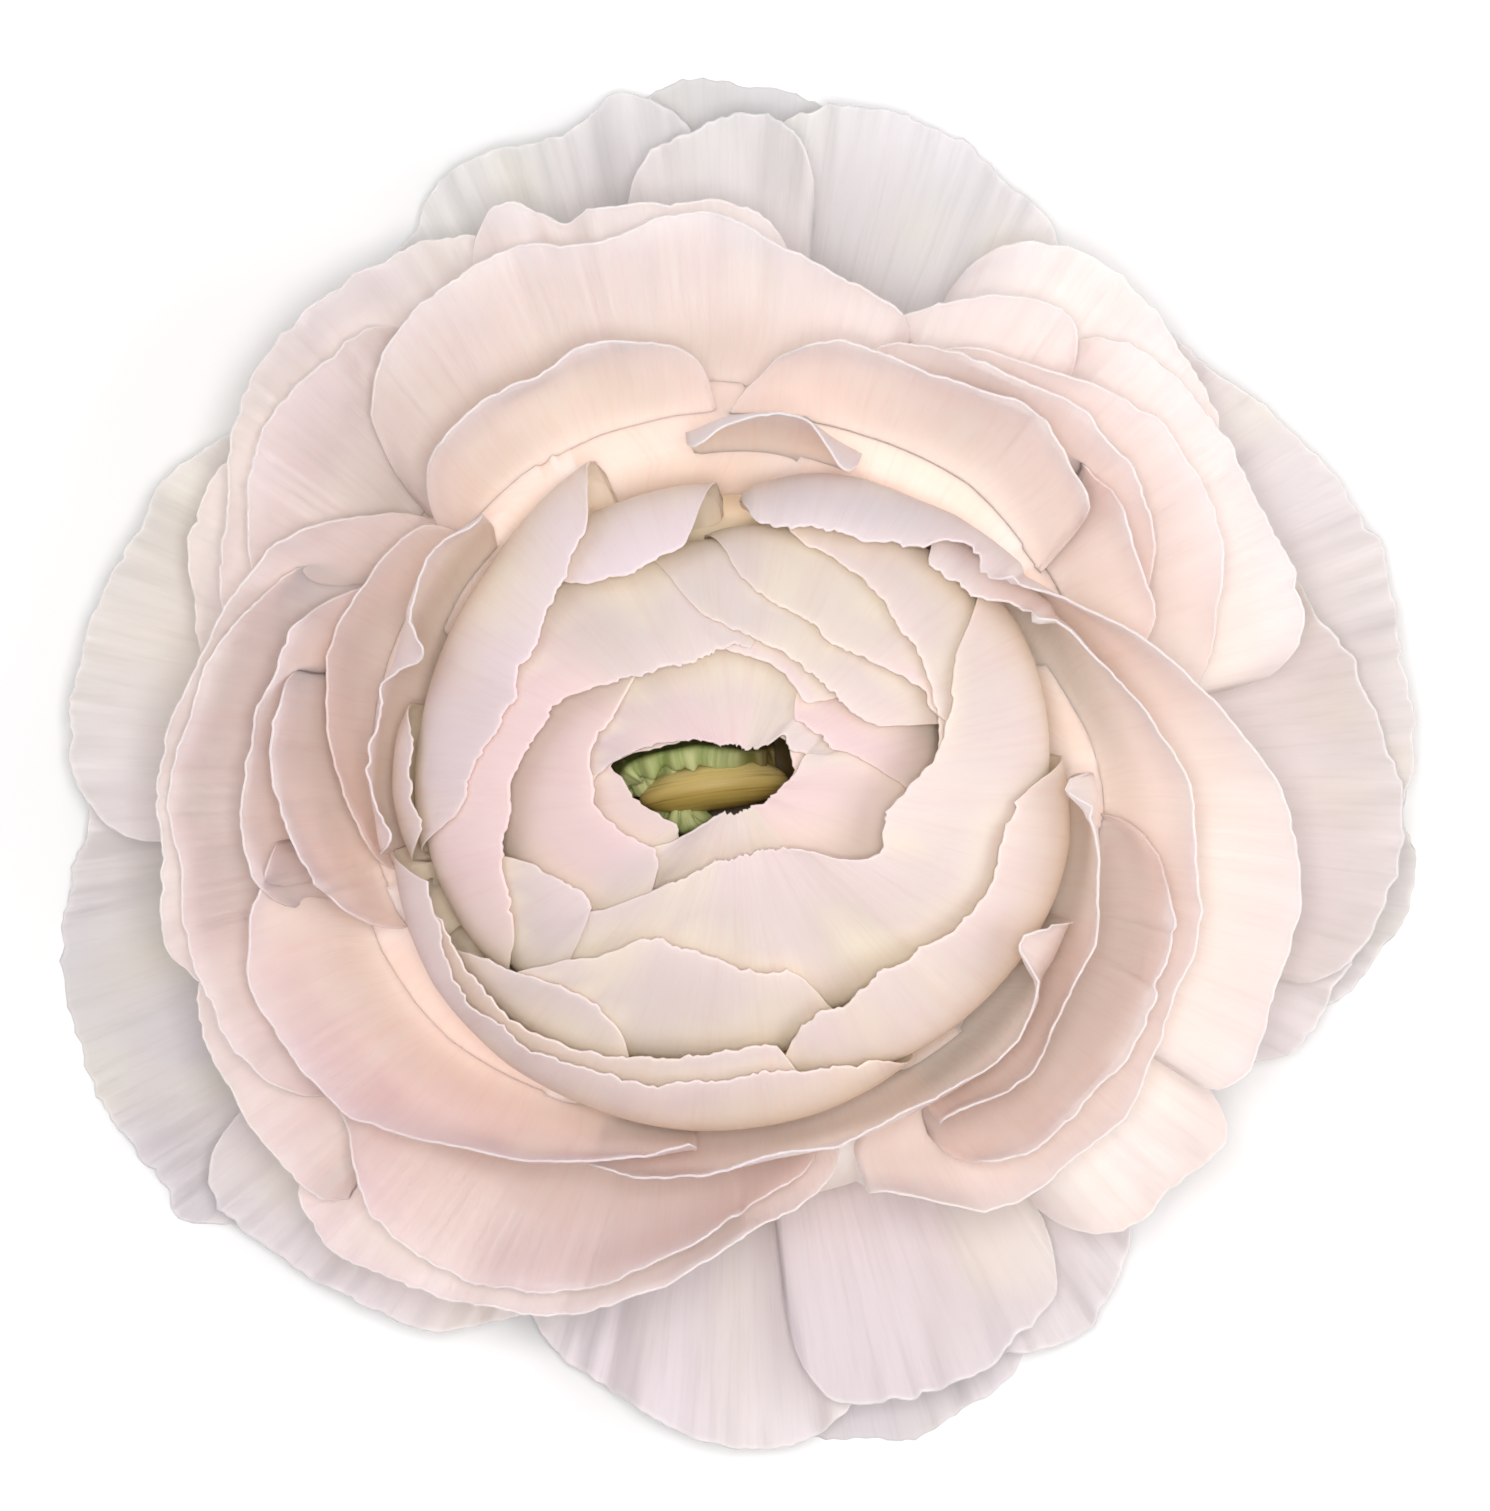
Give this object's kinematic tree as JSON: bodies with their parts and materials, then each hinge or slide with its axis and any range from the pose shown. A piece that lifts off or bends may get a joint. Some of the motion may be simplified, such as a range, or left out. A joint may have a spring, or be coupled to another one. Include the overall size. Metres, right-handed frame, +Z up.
{
  "type": "ranunculus flower",
  "caption": "Open ranunculus bloom, cream heart in peach and pink cup petals and pale outer petals, lying face up.",
  "frame": {"origin": "centre of the bounding box, at the surface the bloom lies on", "axes": "+Z up out of the open heart, +Y to the top of the bloom as pictured, +X to its right"},
  "size_m": [0.0902, 0.0916, 0.0344],
  "materials": {
    "guard_petal": "satin, thin living petal",
    "cup_petal": "satin, thin living petal",
    "heart_petal": "satin, thin living petal",
    "young_petal": "satin, folded green petal",
    "bud": "satin, closed ochre petal",
    "green": "matt, living green"
  },
  "bodies": {
    "root": {"guard_petals": "guard_petal", "cup_petals": "cup_petal", "heart_petals": "heart_petal", "green_heart": "young_petal", "heart_bud": "bud", "calyx": "green"}
  },
  "joints": []
}
